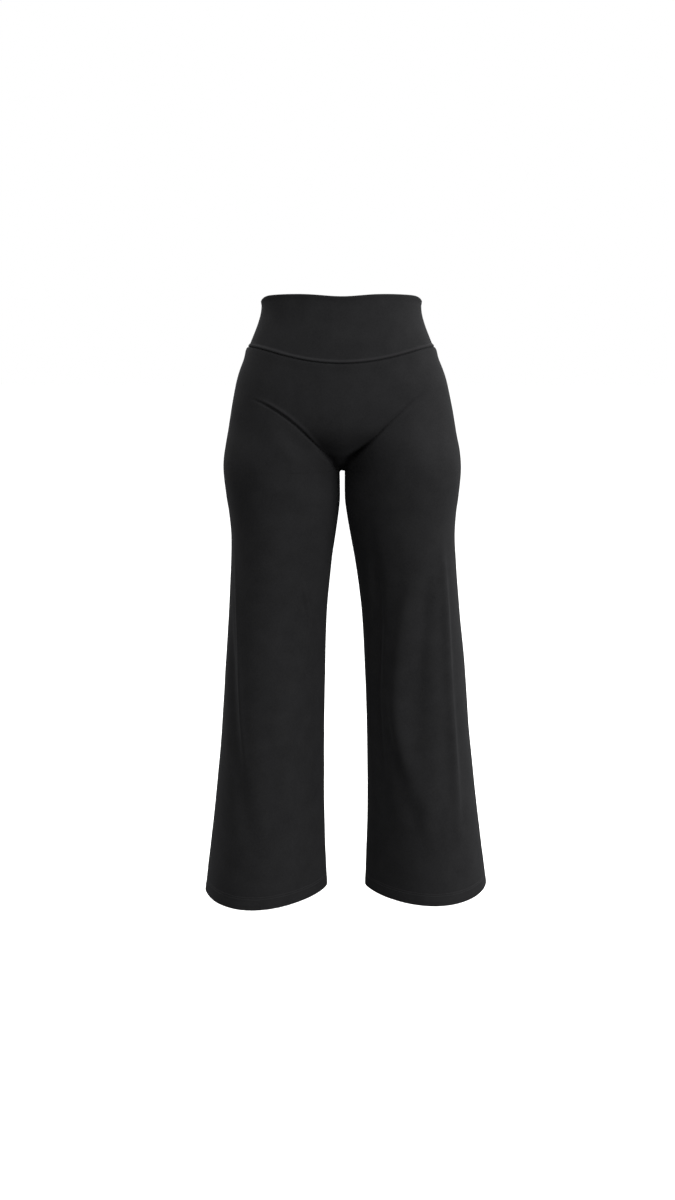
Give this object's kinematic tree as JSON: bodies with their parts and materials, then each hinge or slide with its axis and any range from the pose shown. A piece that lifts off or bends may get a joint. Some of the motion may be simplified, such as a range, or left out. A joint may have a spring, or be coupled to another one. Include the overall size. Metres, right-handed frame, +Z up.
{
  "type": "wide-leg leggings",
  "caption": "High-waist pull-on leggings with a wide waistband and long, softly flared legs, hollow in the shape of a wearer.",
  "frame": {"origin": "middle of the waist opening, level with the waistband's top edge", "axes": "+Z up along the body, -Y to the wearer's front, +X to the wearer's left"},
  "size_m": [0.4623, 0.2554, 0.9765],
  "materials": {
    "knit": "matte stretch knit, near black"
  },
  "bodies": {
    "root": {"waistband_front": "knit", "waistband_back": "knit", "front": "knit", "back_left": "knit", "back_right": "knit", "gusset": "knit"}
  },
  "joints": []
}
